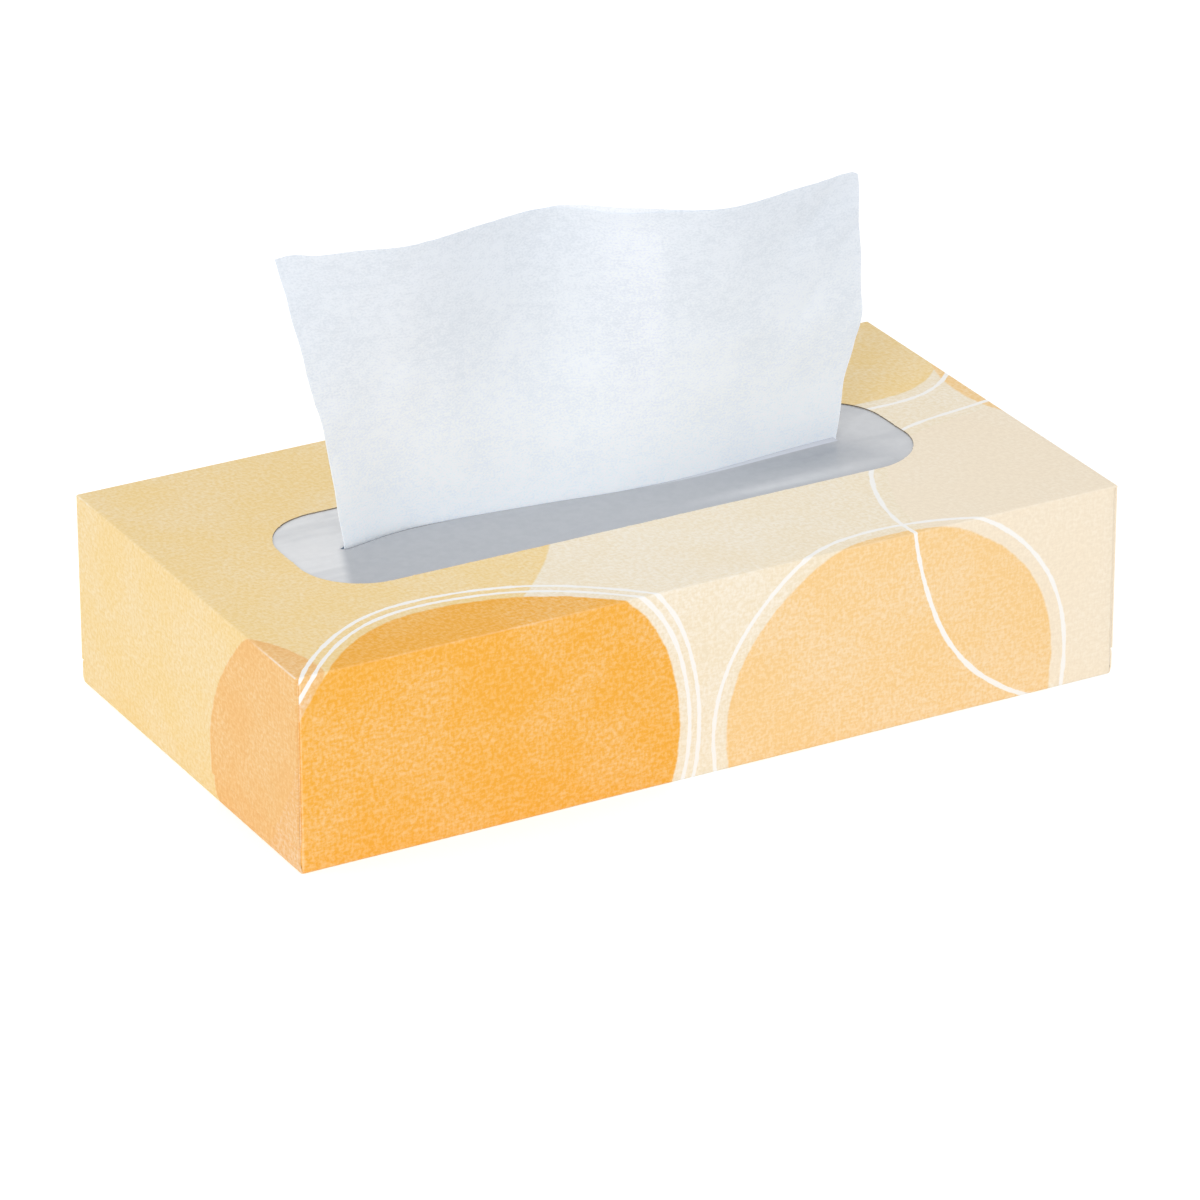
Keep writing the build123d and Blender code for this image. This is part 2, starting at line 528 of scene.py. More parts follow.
def crease_lightening(u, s):
    """How much a crease is lightened, from zero to one: by lost ink and by a painted highlight."""
    top_folds = (front_start + bend / 2, back_start - bend / 2)
    near_top = min(abs(s - line) for line in top_folds)
    near_bottom = abs(s - bottom_start - bend / 2)
    near_end = abs(abs(u) - turn_at(layers_over(s)) - bend / 2)
    patchy = 0.6 + 0.8 * rough(u * 30, s * 30, 5.0)
    top_share = 0.2 * patchy * max(0.0, 1 - near_top / (bend * 0.5))
    # the light line along the bottom fold is a painted highlight
    bottom_painted_highlight = patchy * max(0.0, 1 - near_bottom / (bend * 0.5))
    corner_share = 0.2
    if abs(s) <= top_half:
        corner_share = 0.1 + 0.65 * ramp(-s, *front_wear) + 0.5 * ramp(s, *back_wear)
    # at the end folds: worn ink near the top corners, and a faint painted highlight elsewhere
    end_share = corner_share * max(0.0, 1 - near_end / (bend * 0.45))
    return min(1.0, max(top_share, bottom_painted_highlight, end_share))


flat_place = blank.loops.layers.uv.new("blank")
crease_wear_and_highlight = blank.verts.layers.float.new("crease_wear_and_highlight")
for face in blank.faces:
    face.smooth = True
    middle = face.calc_center_median()
    on_lower_flap = middle.y < bottom_start and abs(middle.x) > turn_at(1)
    for loop in face.loops:
        loop[flat_place].uv = print_place(loop.vert.co.x, loop.vert.co.y, on_lower_flap)
for point in blank.verts:
    u, s = point.co.xy
    point[crease_wear_and_highlight] = crease_lightening(u, s)
    point.co = fold(u, s)
bmesh.ops.recalc_face_normals(blank, faces=blank.faces)
if max(blank.faces, key=lambda face: face.calc_center_median().z).normal.z < 0:
    bmesh.ops.reverse_faces(blank, faces=blank.faces)
carton = make_piece(blank, "printed_carton")
print("folded carton:", rounded(carton.dimensions))

# %% [markdown]
# The opening was torn out along a row of cuts, so its edge wavers a little and keeps a
# small nib where each uncut bridge gave way. A rounded plate with that outline starts as
# a disc whose four quarters are drawn apart. Subdivide gives its rim points to move, and
# extrude makes it a cutter that is taken out of the top panel.

# %% Cutter for the opening
opening_length = 171.8 * MM
opening_width = 45.2 * MM
opening_radius = 17.0 * MM
nib_pitch = 7.4 * MM
nib_width = 0.5 * MM
nib_height = 0.2 * MM
rim_step = 0.3 * MM
cutter_height = 4 * MM
cutter_bm = bmesh.new()
quarter_steps = 24
off_axis = Matrix.Rotation(pi / (4 * quarter_steps), 4, "Z")
bmesh.ops.create_circle(
    cutter_bm, cap_ends=True, segments=4 * quarter_steps, radius=opening_radius, matrix=off_axis
)
for point in cutter_bm.verts:
    point.co.x += (opening_length / 2 - opening_radius) * sign(point.co.x)
    point.co.y += (opening_width / 2 - opening_radius) * sign(point.co.y)
for edge in cutter_bm.edges[:]:
    cuts = int(edge.calc_length() / rim_step)
    if cuts:
        bmesh.ops.subdivide_edges(cutter_bm, edges=[edge], cuts=cuts)
cutter_bm.faces.ensure_lookup_table()
rim = list(cutter_bm.faces[0].verts)
bridge = opening_length / 2 - opening_radius
walked = 0.0
moves = []
for index, point in enumerate(rim):
    walked += (point.co - rim[index - 1].co).length
    middle = Vector((max(-bridge, min(bridge, point.co.x)), 0, 0))
    from_nib = (walked + 1.2 * MM * rough(walked * 60, 0, 5)) % nib_pitch - nib_pitch / 2
    kept = abs(rough(round(walked / nib_pitch) * 1.7, 2.2, 0)) * 2
    nib = nib_height * kept * hill(from_nib, 0, nib_width)
    waver = 0.06 * MM * noise.noise(point.co * 260) + 0.1 * MM * noise.noise(point.co * 70)
    moves.append((middle - point.co).normalized() * (nib + waver))
for point, move in zip(rim, moves):
    point.co += move
lifted = bmesh.ops.extrude_face_region(cutter_bm, geom=cutter_bm.faces[:])["geom"]
lifted = [item for item in lifted if isinstance(item, bmesh.types.BMVert)]
bmesh.ops.translate(cutter_bm, verts=lifted, vec=(0, 0, cutter_height))
bmesh.ops.translate(cutter_bm, verts=cutter_bm.verts, vec=(0, 0, box_height - cutter_height / 2))
bmesh.ops.recalc_face_normals(cutter_bm, faces=cutter_bm.faces)
cutter = make_piece(cutter_bm, "opening_cutter")
print("opening:", len(rim), "rim points,", rounded(cutter.dimensions))

# %% [markdown]
# Solidify turns the folded sheet into board, inwards from the printed face, so the outer size
# stays. The opening is cut after that, so that its wall is the torn edge, with its own finish.


# %% Give the board its thickness and cut the opening
def settle(piece):
    """Make a piece's modifiers part of its mesh, with hard edges where it turns sharply."""
    bpy.context.view_layer.update()
    ready = piece.evaluated_get(bpy.context.evaluated_depsgraph_get())
    old = piece.data
    name = old.name
    piece.data = bpy.data.meshes.new_from_object(ready)
    piece.modifiers.clear()
    bpy.data.meshes.remove(old)
    piece.data.name = name
    piece.data.set_sharp_from_angle(angle=radians(40))


def stands_for(piece, node):
    """Hang a piece under the root, and hide the CAD node that it stands for."""
    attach(piece, "root")
    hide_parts(node)


sides = ("printed_side", "grey_side", "torn_edge")
for name in sides:
    carton.data.materials.append(bpy.data.materials.new(name))
cutter_mesh = cutter.data
cutter_mesh.materials.append(carton.data.materials[sides.index("torn_edge")])
thickness = carton.modifiers.new("board", "SOLIDIFY")
thickness.thickness = board
thickness.offset = -1
thickness.use_even_offset = True
thickness.material_offset = sides.index("grey_side")
thickness.material_offset_rim = sides.index("printed_side")
cut = carton.modifiers.new("opening", "BOOLEAN")
cut.object = cutter
cut.operation = "DIFFERENCE"
cut.solver = "EXACT"
cut.material_mode = "TRANSFER"
settle(carton)
bpy.data.objects.remove(cutter)
bpy.data.meshes.remove(cutter_mesh)
stands_for(carton, "carton")
print("carton:", len(carton.data.polygons), "faces,", [m.name for m in carton.data.materials])

# %% [markdown]
# The print is a loose watercolour: round washes of yellow, orange and cream that lie
# over each other, with a few thin rings left white. An image would be the usual way,
# but a wash is only a circle whose rim is shifted by noise, so nodes can paint it on
# the flat blank. A finer noise thins the pigment, as the tooth of the paper does.

# %% Inks and paper tooth
cream = srgb(248, 233, 204)
sand = srgb(250, 235, 211)
yellow = srgb(249, 218, 152)
light_orange = srgb(252, 211, 146)
peach = srgb(246, 192, 121)
orange = srgb(250, 179, 60)
bare_white = srgb(254, 252, 248)

printed = Finish("printed_side_ink", roughness=0.6, specular=0.3)
blank_place = printed.add("ShaderNodeUVMap", uv_map="blank").outputs[0]
_, slow_shift = printed.blotches(blank_place, 45 * MM, detail=0.0)
quick_value, quick_shift = printed.blotches(blank_place, 5 * MM, detail=3.0)
pool_value, _ = printed.blotches(blank_place, 24 * MM, detail=3.0)
along_value, _ = printed.blotches(blank_place, 0.95 * MM, detail=3.0, stretch=(0.6, 1.25, 1))
across_value, _ = printed.blotches(blank_place, 0.95 * MM, detail=3.0, stretch=(1.25, 0.6, 1))
tooth_value = printed.math("MULTIPLY", printed.math("ADD", along_value, across_value), 0.5)
pools = printed.ease(pool_value, 0.36, 0.64, -0.08, 0.08)
tooth = printed.ease(tooth_value, 0.36, 0.64, -0.24, 0.16)
pigment = printed.math("ADD", 0.88, printed.math("ADD", pools, tooth), clamp=True)


def shift(place, by, size):
    """Move a place by a noise colour, up to half of this size either way."""
    centred = printed.vector("SUBTRACT", by, (0.5, 0.5, 0.5))
    return printed.vector("ADD", place, printed.vector("MULTIPLY", centred, (size, size, 0)))


steady_place = shift(blank_place, slow_shift, 7 * MM)
wet_place = shift(steady_place, quick_shift, 1.2 * MM)
print("inks ready, print nodes:", len(printed.tree.nodes))

# %% [markdown]
# A wash is a circle with a wet, uneven rim, a little denser where the ink ran to. Washes are
# laid in the order of the list, and a later one lets a little of the earlier ones through. The
# rings come last, as if they had been masked off, and keep the white of the paper.

# %% Washes and rings
wash_blur = 0.35 * MM
wash_rim = 3 * MM


def wash(under, ink, centre, radius):
    """Paint one round wash over what is there, a little denser at its rim."""
    away = printed.vector("DISTANCE", wet_place, centre)
    inside = printed.ease(away, radius - wash_blur, radius + wash_blur, 1.0, 0.0)
    rim_share = printed.ease(away, radius - wash_rim, radius, 0.0, 0.06)
    share = printed.math("ADD", pigment, rim_share, clamp=True)
    return printed.blend(printed.math("MULTIPLY", share, inside), under, ink)


def ring(under, centre, radius):
    """Leave one thin ring white. The brush that masked it was not quite even."""
    away = printed.vector("DISTANCE", steady_place, centre)
    off = printed.math("ABSOLUTE", printed.math("SUBTRACT", away, radius))
    half_width = printed.ease(quick_value, 0.35, 0.65, 0.5 * MM, 0.75 * MM)
    line = printed.ease(printed.math("DIVIDE", off, half_width), 0.7, 1.2, 1.0, 0.0)
    return printed.blend(line, under, bare_white)


washes = [  # ink, centre on the blank and radius, in millimetres
    (sand, (116, -58), 56),
    (yellow, (-104, 26), 92),
    (yellow, (82, 58), 44),
    (light_orange, (150, 12), 40),
    (peach, (-152, -58), 44),
    (light_orange, (50, -106), 48),
    (yellow, (-66, -96), 54),  # warms the orange that is laid over it
    (orange, (-66, -96), 54),
    (peach, (18, 80), 30),
    (orange, (-48, 112), 40),
    (light_orange, (64, 116), 34),
]
rings = [((-66, -96), 57), ((-66, -96), 60), ((50, -106), 52), ((116, -58), 60), ((82, 58), 48)]
print_colour = printed.blend(pigment, bare_white, cream)
for ink, (u, s), radius in washes:
    print_colour = wash(print_colour, ink, (u * MM, s * MM, 0), radius * MM)
grain = printed.ease(tooth_value, 0.36, 0.64, 1.03, 0.965)  # thicker ink is a little darker
print_colour = printed.vector("MULTIPLY", print_colour, grain)
for (u, s), radius in rings:
    print_colour = ring(print_colour, (u * MM, s * MM, 0), radius * MM)
print(len(washes), "washes and", len(rings), "rings")

# %% [markdown]
# Each point already knows how light its crease is, by wear and by painted highlight. Noise
# breaks that share up into white cracks, which are finer than any mesh. The tooth of the paper
# becomes a fine bump and an uneven gloss.

# %% Wear, painted highlight and surface of the print
wear_and_highlight_share = printed.add("ShaderNodeAttribute", attribute_name="crease_wear_and_highlight").outputs["Fac"]
crack_value, _ = printed.blotches(blank_place, 2.4 * MM, detail=4.0)
cracked_lightening = printed.math("MULTIPLY", wear_and_highlight_share, printed.ease(crack_value, 0.36, 0.58, 0.55, 1.0))
# white where ink is worn off or a highlight is painted on a crease
printed.colour(printed.blend(cracked_lightening, print_colour, srgb(254, 249, 240)))
grit_value, _ = printed.blotches(blank_place, 0.5 * MM, detail=1.0)
printed.bump(printed.math("ADD", tooth_value, printed.math("MULTIPLY", grit_value, 0.5)), 0.05 * MM, 0.45)
printed.plug(printed.ease(tooth_value, 0.3, 0.7, 0.52, 0.68), printed.shader.inputs["Roughness"])
carton.data.materials[sides.index("printed_side")] = printed.material
print("print nodes:", len(printed.tree.nodes))

# %% [markdown]
# The back of folding boxboard is grey recycled fibre, and the torn edge of the opening
# shows the same core, painted darker as shade in its narrow edge. Both are seen only in slivers,
# but a clean white edge there would look like plastic. The cut edges of the flaps are too thin
# to show their core, so they keep the colour of the print beside them.


# %% Bare board
def bare_board(name, dark, light, fibre_size):
    """Unprinted board whose fibres are about this long."""
    finish = Finish(name, roughness=0.88, specular=0.15)
    fibre_value, _ = finish.blotches(finish.object_place(), fibre_size, detail=4.0)
    finish.colour(finish.blend(finish.ease(fibre_value, 0.32, 0.68), dark, light))
    finish.bump(fibre_value, 0.05 * MM, 0.6)
    carton.data.materials[sides.index(name.removesuffix("_board"))] = finish.material


bare_board("grey_side_board", srgb(171, 162, 148), srgb(196, 188, 174), 1.1 * MM)
# the torn edge is darker than the grey side: its core, and painted shade
bare_board("torn_edge_board", srgb(112, 101, 88), srgb(156, 144, 128), 0.6 * MM)
print("carton finishes:", [m.name for m in carton.data.materials])

# %% [markdown]
# The standing sheet is two plies of tissue paper: they bend but hardly stretch. They
# are held in a slit, which they push into a shallow S, and from there their waves grow
# towards the free edge. A cloth simulation would let so soft a sheet fall over, so the
# flat plies are bent along four wave lines instead, the same ones that shape the solid.

# %% Waves of the sheet
half_span = 69.5 * MM
# seen from above, in half spans, from the slit to the free edge
slit_wave = [(-1.02, 0.01), (-0.79, 0.06), (-0.55, 0.045), (-0.17, 0), (0.13, -0.04)]
slit_wave += [(0.43, -0.05), (0.98, -0.02)]
low_wave = [(-1.045, 0.03), (-0.81, 0.062), (-0.57, 0.047), (-0.18, 0.03), (0.135, -0.038)]
low_wave += [(0.44, -0.075), (1, -0.05)]
middle_wave = [(-1.09, 0.07), (-0.84, 0.07), (-0.6, 0.05), (-0.175, 0.08), (0.145, -0.035)]
middle_wave += [(0.45, -0.12), (1.03, -0.11)]
edge_wave = [(-1.18, 0.185), (-0.9, 0.085), (-0.65, 0.04), (-0.155, 0.14), (0.15, -0.035)]
edge_wave += [(0.46, -0.17), (1.01, -0.1)]
waves = [slit_wave, low_wave, middle_wave, edge_wave]
rise_shares = (0.007, 0.25, 0.5, 1.0)  # how far up the sheet each wave lies


def through(points, t):
    """A smooth curve through all the points, at t from 0 to 1."""
    last = len(points) - 1
    i = min(int(clamp(t) * last), last - 1)
    f = clamp(t) * last - i
    here, there = points[i], points[i + 1]
    before = points[i - 1] if i > 0 else 2 * here - there
    after = points[i + 2] if i + 2 <= last else 2 * there - here
    pull = (there - before) / 2
    push = (after - here) / 2
    step = there - here
    return here + f * (pull + f * ((3 * step - 2 * pull - push) + f * (pull + push - 2 * step)))


def even_steps(line, count):
    """The curve's own parameter at even steps along its length."""
    tries = 400
    spots = [through(line, k / tries) for k in range(tries + 1)]
    lengths = [0.0]
    for a, b in zip(spots, spots[1:]):
        lengths.append(lengths[-1] + (b - a).length)
    steps = []
    k = 0
    for n in range(count + 1):
        goal = lengths[-1] * n / count
        while k < tries - 1 and lengths[k + 1] < goal:
            k += 1
        steps.append((k + (goal - lengths[k]) / (lengths[k + 1] - lengths[k])) / tries)
    return steps


wave_lines = [[Vector((x, y)) * half_span for x, y in wave] for wave in waves]
wave_heights = [box_height + (sheet_high.z - box_height) * share for share in rise_shares]
print("wave lines at", rounded(wave_heights))

# %% [markdown]
# Each point of the flat sheet is known by its column and row. The row says how high it stands,
# and a curve through the four waves says where. Dents, valleys and one upright fold are added
# by rule. They could be sculpted, but then the plies would not keep their distance.

# %% Places on the sheet
columns, standing_rows, leaf_rows = 170, 84, 10
ply_gauge = 0.1 * MM
column_steps = [even_steps(line, columns) for line in wave_lines]
leaf_half = stack_high.x - 4 * MM
leaf_back = stack_high.y - 8 * MM
leaf_level = stack_high.z + 0.25 * MM


def standing_place(column, z):
    """A place on the standing sheet before it is crumpled."""
    row = [through(line, steps[column]) for line, steps in zip(wave_lines, column_steps)]
    if z <= wave_heights[0]:
        return Vector((row[0].x, row[0].y, z))
    k = next((k for k in (0, 1, 2) if z <= wave_heights[k + 1]), 2)
    up = (k + (z - wave_heights[k]) / (wave_heights[k + 1] - wave_heights[k])) / 3
    place = through(row, up)
    return Vector((place.x, place.y, z))


valleys = [  # two ends, along the box and up, and a depth, in millimetres
    ((50, 63), (66, 70), 0.6),
    ((34, 30), (67, 48), 0.3),
    ((-46, 28), (-44, 60), 0.4),
]
valley_reach = 4.5 * MM
fold_from, fold_crest, fold_to = -6 * MM, 15 * MM, 26 * MM  # an upright fold near the middle
fold_depth = 0.7  # in millimetres, as the dents are until they are added up


def valley(x, up, start, end, depth):
    """How deep a soft valley from start to end is at a point of the sheet."""
    spot = Vector((x, up * (sheet_high.z - film_high.z))) - Vector(start) * MM
    line = (Vector(end) - Vector(start)) * MM
    share = clamp(spot.dot(line) / line.length_squared)
    return depth * hill((spot - line * share).length, 0, valley_reach)


def crumple(x, up):
    """Slow dents, soft valleys, slanting creases and the upright fold, none at the slit."""
    dents = rough(x * 34, up * 2.6, 1.0) * 0.6
    dents += sum(valley(x, up, *line) for line in valleys)
    to_crest = (x - fold_from) / (fold_crest - fold_from)
    from_crest = (fold_to - x) / (fold_to - fold_crest)
    dents -= fold_depth * max(0.0, min(to_crest, from_crest))
    dents += rough(x * 90, up * 7, 4.0) * 0.2
    slanting = rough(x * 44 - up * 2.8, up * 1.2 + x * 12, 8.0)
    creases = (1 - clamp(abs(slanting) * 3)) ** 2 * 0.22
    fine = rough(x * 240, up * 19, 2.0) * 0.05
    return clamp(up * 2.2) * (dents + creases + fine) * MM


def free_edge(t, ply):
    """How far the upper edge of a ply lies under the line that the waves give."""
    uneven = 0.4 * hill(t, 0.07, 0.03) + 0.4 * hill(t, 0.43, 0.07) + 0.7 * hill(t, 0.74, 0.07)
    uneven += 0.15 * rough(t * 40, ply, 0)
    corners = 0.9 * max(0.0, 1 - t / 0.018) + 0.9 * max(0.0, 1 - (1 - t) / 0.016) ** 2
    second_ply = 1.5 * hill(t, 0.58, 0.09) if ply < 0 else 0.0
    return (uneven + corners + second_ply) * MM


def side_edge(t, up):
    """How far the cut sides of the sheet waver along the box."""
    left = hill(t, 0, 0.03) * rough(up * 9, 1.5, 0)
    right = hill(t, 1, 0.03) * rough(up * 9, 7.5, 0)
    return 0.5 * MM * (left + right)


def sheet_place(column, row, ply):
    """A place on one ply, which lies in front of the middle at -1 or behind it at 1."""
    apart = ply_gauge * ply
    t = column / columns
    if row < leaf_rows:
        near = row / leaf_rows
        foot = standing_place(column, wave_heights[0])
        wide = leaf_half * (2 * t - 1)
        x = wide + (foot.x - wide) * (1 - (1 - near) ** 2)
        return Vector((x, leaf_back + (foot.y - leaf_back) * near, leaf_level + apart))
    z = leaf_level + (sheet_high.z - leaf_level) * (row - leaf_rows) / standing_rows
    up = max(0.0, (z - film_high.z) / (sheet_high.z - film_high.z))
    place = standing_place(column, z)
    along = standing_place(min(column + 1, columns), z) - standing_place(max(column - 1, 0), z)
    along.normalize()
    behind = Vector((-along.y, along.x, 0))
    place += behind * (apart + crumple(place.x, up)) + along * side_edge(t, up)
    place.z -= free_edge(t, ply) * up**8
    return place


print("sheet foot at", rounded(sheet_place(0, leaf_rows, -1)))

# %% [markdown]
# Two flat grids become the two plies, one a hair in front of the middle and one behind it. They
# keep their flat places as a UV map, and Solidify gives each the thickness of its paper.

# %% Bend the plies
sheet_bm = bmesh.new()
sheet_bm.loops.layers.uv.new("sheet")
all_rows = leaf_rows + standing_rows
for ply in (-1, 1):
    flat_ply = bmesh.ops.create_grid(
        sheet_bm, x_segments=columns, y_segments=all_rows, size=0.5, calc_uvs=True
    )
    for point in flat_ply["verts"]:
        column = round((point.co.x + 0.5) * columns)
        row = round((point.co.y + 0.5) * all_rows)
        point.co = sheet_place(column, row, ply)
for face in sheet_bm.faces:
    face.smooth = True
sheet_piece = make_piece(sheet_bm, "standing_tissue")
ply_thickness = sheet_piece.modifiers.new("ply", "SOLIDIFY")
ply_thickness.thickness = ply_gauge
ply_thickness.offset = 0
settle(sheet_piece)
stands_for(sheet_piece, "pop_up_tissue")
ply_width, ply_length = 190 * MM, 126 * MM
print("sheet:", len(sheet_piece.data.polygons), "faces,", rounded(sheet_piece.dimensions))

# %% [markdown]
# Tissue paper is soft, matt and a cool white. Light goes into it a little way, and it
# glows a faint blue all over, a painted glow, as it is no lamp. Its fibres lie in clouds, and
# the blade that crepes it leaves fine ridges across it. Towards the slit it is painted whiter, as
# painted light against the shade near the box. All this follows the sheet's own UV map.
# A painted highlight lies along the upright fold, and it is found by its place along the box.

# %% Tissue paper
tissue = Finish("tissue_paper", roughness=0.95, specular=0.1)
softness_and_glow = {
    "Subsurface Weight": 0.2,
    "Subsurface Radius": (1.0, 1.0, 1.0),
    "Subsurface Scale": 1.5 * MM,
    "Sheen Weight": 0.1,
    "Sheen Roughness": 0.6,
    # a faint blue glow over the whole sheet, painted light, since the tissue is no lamp
    "Emission Color": (0.48, 0.7, 1.0, 1),
    "Emission Strength": 0.075,
}
for socket_name, value in softness_and_glow.items():
    tissue.shader.inputs[socket_name].default_value = value
sheet_share = tissue.add("ShaderNodeUVMap", uv_map="sheet").outputs[0]
standing_width = 165 * MM
on_sheet = tissue.vector("MULTIPLY", sheet_share, (standing_width, ply_length, 1))
cloud_value, _ = tissue.blotches(on_sheet, 17 * MM, detail=3.0, stretch=(1.0, 0.7, 1))
fluff_value, _ = tissue.blotches(on_sheet, 3.0 * MM, detail=4.0)
fibre_value, _ = tissue.blotches(on_sheet, 0.7 * MM, detail=2.0)
crepe_value, _ = tissue.blotches(on_sheet, 0.9 * MM, detail=1.0, stretch=(0.4, 1.6, 1))
mottle = tissue.math("MULTIPLY", cloud_value, 0.26)
for value, share in ((fluff_value, 0.28), (fibre_value, 0.46)):
    mottle = tissue.math("ADD", mottle, tissue.math("MULTIPLY", value, share))
cloudiness = tissue.ease(mottle, 0.385, 0.58)
upper_tissue = tissue.blend(cloudiness, srgb(225, 230, 236), srgb(238, 242, 247))
# painted light: whiter towards the slit, against the shade near the box
lower_tissue_painted_light = tissue.blend(cloudiness, srgb(240, 245, 250), srgb(253, 255, 255))
# a painted highlight along the upright fold
fold_highlight_tissue = tissue.blend(cloudiness, srgb(231, 235, 241), srgb(246, 249, 253))
up_sheet = tissue.axis(sheet_share, "Y")
painted_light_fade = tissue.ease(up_sheet, 0.0, 0.95)
along_box = tissue.axis(tissue.object_place(), "X")
highlight_start = tissue.ease(along_box, fold_from + 1 * MM, fold_from + 17 * MM)
highlight_end = tissue.ease(along_box, fold_crest - 1 * MM, fold_crest + 3 * MM, 1.0, 0.0)
highlight_foot = tissue.ease(up_sheet, 0.2, 0.55)
highlight_head = tissue.ease(up_sheet, 0.92, 1.0, 1.0, 0.2)
fold_highlight_share = highlight_start
for fade in (highlight_end, highlight_foot, highlight_head):
    fold_highlight_share = tissue.math("MULTIPLY", fold_highlight_share, fade)
tissue_with_painted_light = tissue.blend(painted_light_fade, lower_tissue_painted_light, upper_tissue)
tissue.colour(tissue.blend(fold_highlight_share, tissue_with_painted_light, fold_highlight_tissue))
relief = tissue.math("ADD", fluff_value, tissue.math("MULTIPLY", crepe_value, 0.5))
tissue.bump(relief, 0.1 * MM, 0.4)
sheet_piece.data.materials.append(tissue.material)
print("tissue nodes:", len(tissue.tree.nodes))

# %% [markdown]
# The film is a thin plastic window, glued under the top panel and slit along the middle.
# It starts as a flat grid. The middle row is bent to the sheet's S and split open, its
# lips are pushed up or down by the sheet, and the slack at the ends lies in ripples.

# %% Slit the film
film_length = film_high.x - film_low.x
film_width = film_high.y - film_low.y
film_level = (film_low.z + film_high.z) / 2
slit_from = wave_lines[0][0].x - 1.0 * MM
slit_to = wave_lines[0][-1].x + 1.0 * MM
film_bm = bmesh.new()
film_plate = Matrix.Diagonal((film_length, film_width, 1, 1))
bmesh.ops.create_grid(film_bm, x_segments=240, y_segments=80, size=0.5, matrix=film_plate)
slit_edges = []
for edge in film_bm.edges:
    start, end = (point.co for point in edge.verts)
    on_middle = max(abs(start.y), abs(end.y)) < tiny
    if on_middle and slit_from < (start.x + end.x) / 2 < slit_to:
        slit_edges.append(edge)
bmesh.ops.split_edges(film_bm, edges=slit_edges)
print("slit:", len(slit_edges), "edges parted")

# %% [markdown]
# The film could be simulated as a sheet under tension, but only its lips and a few ripples
# differ from a flat one. So its points are moved by rule, each by its distance from the slit.

# %% Shape the film
half_gap = 0.28  # of the slit, in millimetres
lip_rise = 1.35  # of the front lip where the sheet lifts it
back_rise = 0.5


def slit_y(x):
    """The slit's own wave at x."""
    line = wave_lines[0]
    low, high = 0.0, 1.0
    for _ in range(24):
        middle = (low + high) / 2
        if through(line, middle).x < x:
            low = middle
        else:
            high = middle
    return through(line, low).y


def slit_share(x):
    """How open the slit is at x, from zero at its ends to one."""
    return clamp(min(x - slit_from, slit_to - x) / (2 * MM))


def lip_turn(x, side):
    """How the film's lip turns: up to one where the sheet lifts it, below zero into the slit."""
    return ramp(x, -5 * MM, 66 * MM) - 0.4 * hill(x, -60 * MM, 14 * MM) if side < 0 else 0.0


def film_place(x, y, side):
    """Where a point of the flat film goes. side is -1 in front of the slit, 1 behind."""
    off = abs(y)
    near = max(0.0, 1 - off / (film_width / 2))
    gap = half_gap + (0.2 * hill(x, -60 * MM, 14 * MM) if side < 0 else 0.0)
    y_new = y + slit_y(x) * near**2 + side * gap * MM * slit_share(x) * exp(-off / (5 * MM))
    lift = lip_rise * lip_turn(x, side) if side < 0 else back_rise
    lip = lift * MM * slit_share(x) * exp(-off / (0.6 * MM))
    inside = min(opening_length / 2 - abs(x), opening_width / 2 - abs(y_new))
    slack = clamp((inside - 1 * MM) / (6 * MM))
    to_end = clamp((abs(x) - 50 * MM) / (28 * MM))
    ripple = rough(x * 18, y_new * 120, 2.0) * (0.08 + 0.34 * to_end)
    ripple += rough(x * 40, y_new * 300, 6.0) * 0.08 * to_end
    return Vector((x, y_new, film_level + lip + slack * (ripple - 0.1) * MM))


def paint_film_light(x, y):
    """Painted light on the film at a point, from zero, grey with painted shade, to one, pale."""
    left = 0.63 - 0.63 * ramp(x - (0.4 if y < 0 else 1.0) * y, -73 * MM, -70 * MM)
    right = 0.3 * ramp(x + 0.4 * y, 62 * MM, 78 * MM)
    front_streak = 0.42 * hill(y, -17.5 * MM, 2.6 * MM) * hill(x, 50 * MM, 26 * MM)
    # painted shade of the sheet on the film, right of the middle
    painted_sheet_shade = 0.2 * hill(y, -5 * MM, 6 * MM) * hill(x, 56 * MM, 18 * MM)
    return max(left, right, front_streak) - painted_sheet_shade


flat_film = []
for point in film_bm.verts:
    side = sign(sum(face.calc_center_median().y for face in point.link_faces))
    from_slit = film_width / 2 * (abs(point.co.y) / (film_width / 2)) ** 1.6  # finer rows at the slit
    flat_film.append((point.co.x, side * from_slit, side))
film_painted_light = film_bm.verts.layers.float.new("film_painted_light")
lip_light_and_shade = film_bm.verts.layers.float.new("lip_light_and_shade")
for point, (x, y, side) in zip(film_bm.verts, flat_film):
    point[film_painted_light] = paint_film_light(x, y)
    point[lip_light_and_shade] = lip_turn(x, side) * slit_share(x) * (1 - ramp(abs(y), 0.35 * MM, 0.9 * MM))
    point.co = film_place(x, y, side)
for face in film_bm.faces:
    face.smooth = True
bmesh.ops.recalc_face_normals(film_bm, faces=film_bm.faces)
film_piece = make_piece(film_bm, "film_window")
gauge = film_piece.modifiers.new("gauge", "SOLIDIFY")
gauge.thickness = film_high.z - film_low.z
gauge.offset = 0
settle(film_piece)
stands_for(film_piece, "slit_film")
print("film:", len(film_piece.data.polygons), "faces,", rounded(film_piece.dimensions))
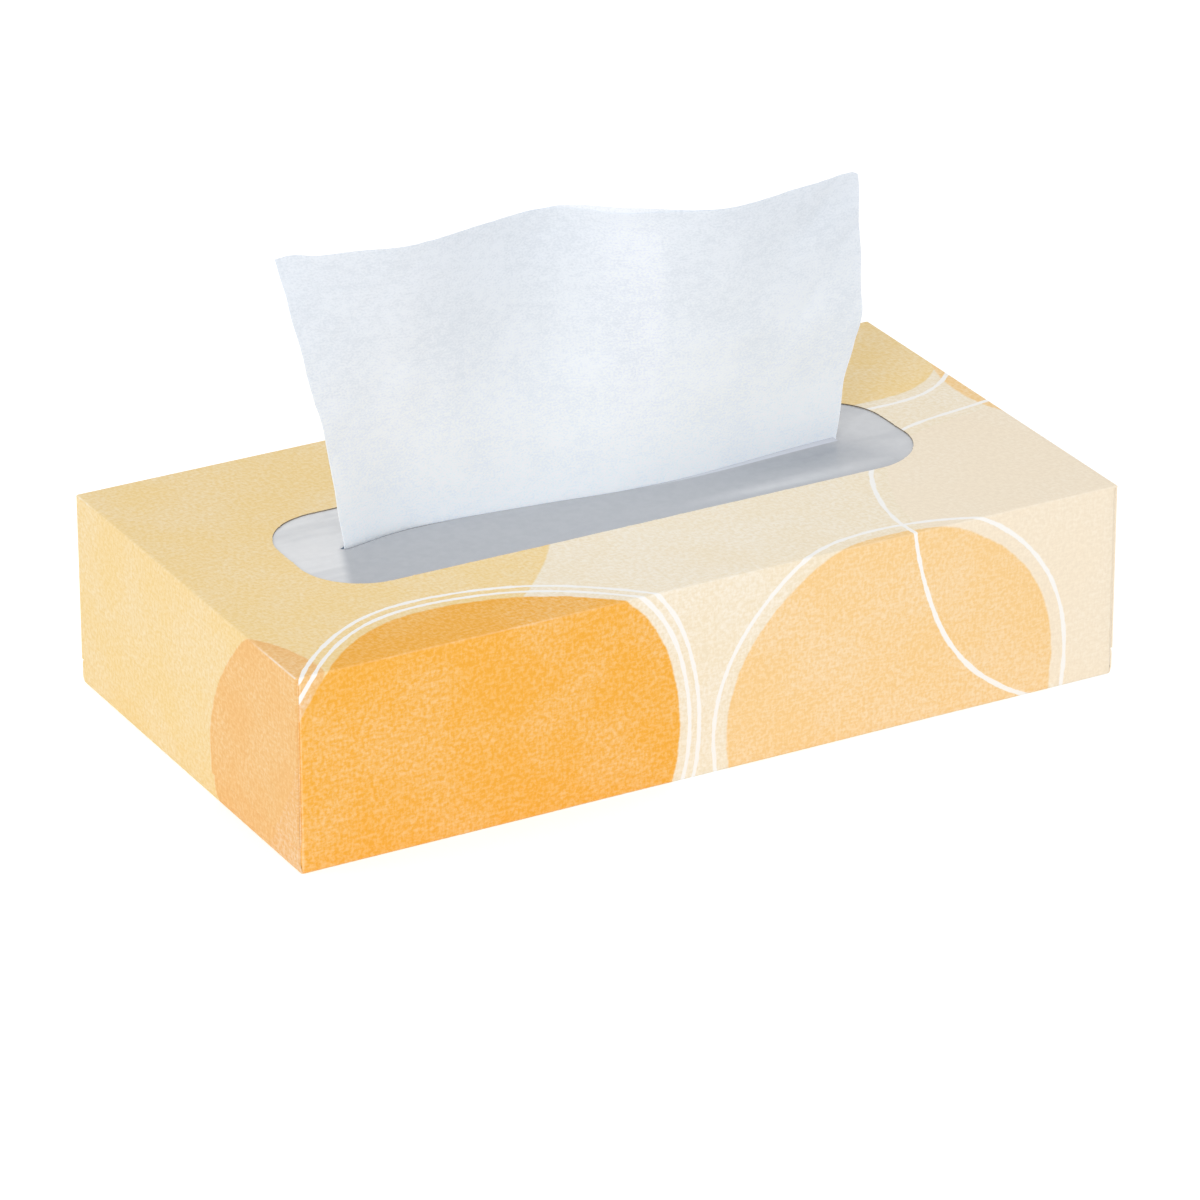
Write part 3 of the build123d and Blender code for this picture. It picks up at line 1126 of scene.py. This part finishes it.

# %% [markdown]
# The film is smooth and a little cloudy. It is painted pale towards the ends, and grey, as
# painted shade, in front of the sheet. Soft streaks run along its length. Its lip has a painted
# highlight where it turns up along the sheet, and a painted shadow where it turns into the slit.
# Glass-like film over paper would need many light bounces to show the same, so each point
# of the film keeps this painted light and its turn, and the finish reads them.

# %% Cloudy film
cloudy = Finish("cloudy_film", roughness=0.25, specular=0.4)
film_spot = cloudy.object_place()
streak_value, _ = cloudy.blotches(film_spot, 6 * MM, detail=2.0, stretch=(0.2, 1.0, 1.0))
haze_value, _ = cloudy.blotches(film_spot, 2.5 * MM, detail=3.0)
pale = cloudy.add("ShaderNodeAttribute", attribute_name="film_painted_light").outputs["Fac"]
pale = cloudy.math("MULTIPLY", pale, cloudy.ease(streak_value, 0.34, 0.62, 0.72, 1.08))
pale = cloudy.math("ADD", pale, cloudy.ease(haze_value, 0.3, 0.7, 0.19, 0.25), clamp=True)
# grey with painted shade, up to pale painted light
film_colour = cloudy.blend(pale, srgb(166, 170, 177), srgb(236, 237, 239))
lip_light_value = cloudy.add("ShaderNodeAttribute", attribute_name="lip_light_and_shade").outputs["Fac"]
# a painted highlight where the lip turns up along the sheet
film_colour = cloudy.blend(cloudy.ease(lip_light_value, 0.0, 0.5), film_colour, srgb(207, 212, 222))
# a painted shadow where the lip turns down into the slit
film_colour = cloudy.blend(cloudy.ease(lip_light_value, 0.0, -0.3), film_colour, srgb(92, 84, 76))
cloudy.colour(film_colour)
cloudy.bump(streak_value, 0.15 * MM, 0.2)
film_piece.data.materials.append(cloudy.material)
print("film nodes:", len(cloudy.tree.nodes))

# %% [markdown]
# The stack inside stays as the CAD made it. It is hardly ever seen, but it gets the fine
# level lines of many folded sheets all the same.

# %% Stack of sheets
stacked = Finish("stacked_sheets", roughness=0.95, specular=0.1)
stack_spot = stacked.object_place()
sheet_lines, _ = stacked.blotches(stack_spot, 1.2 * MM, detail=3.0, stretch=(0.03, 0.03, 1.4))
line_share = stacked.ease(sheet_lines, 0.35, 0.62)
stacked.colour(stacked.blend(line_share, srgb(206, 212, 220), srgb(238, 241, 245)))
stacked.bump(sheet_lines, 0.25 * MM, 0.7)
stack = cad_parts["tissue_stack"]
stack.data.materials.clear()
stack.data.materials.append(stacked.material)
print("stack finish:", stacked.material.name)
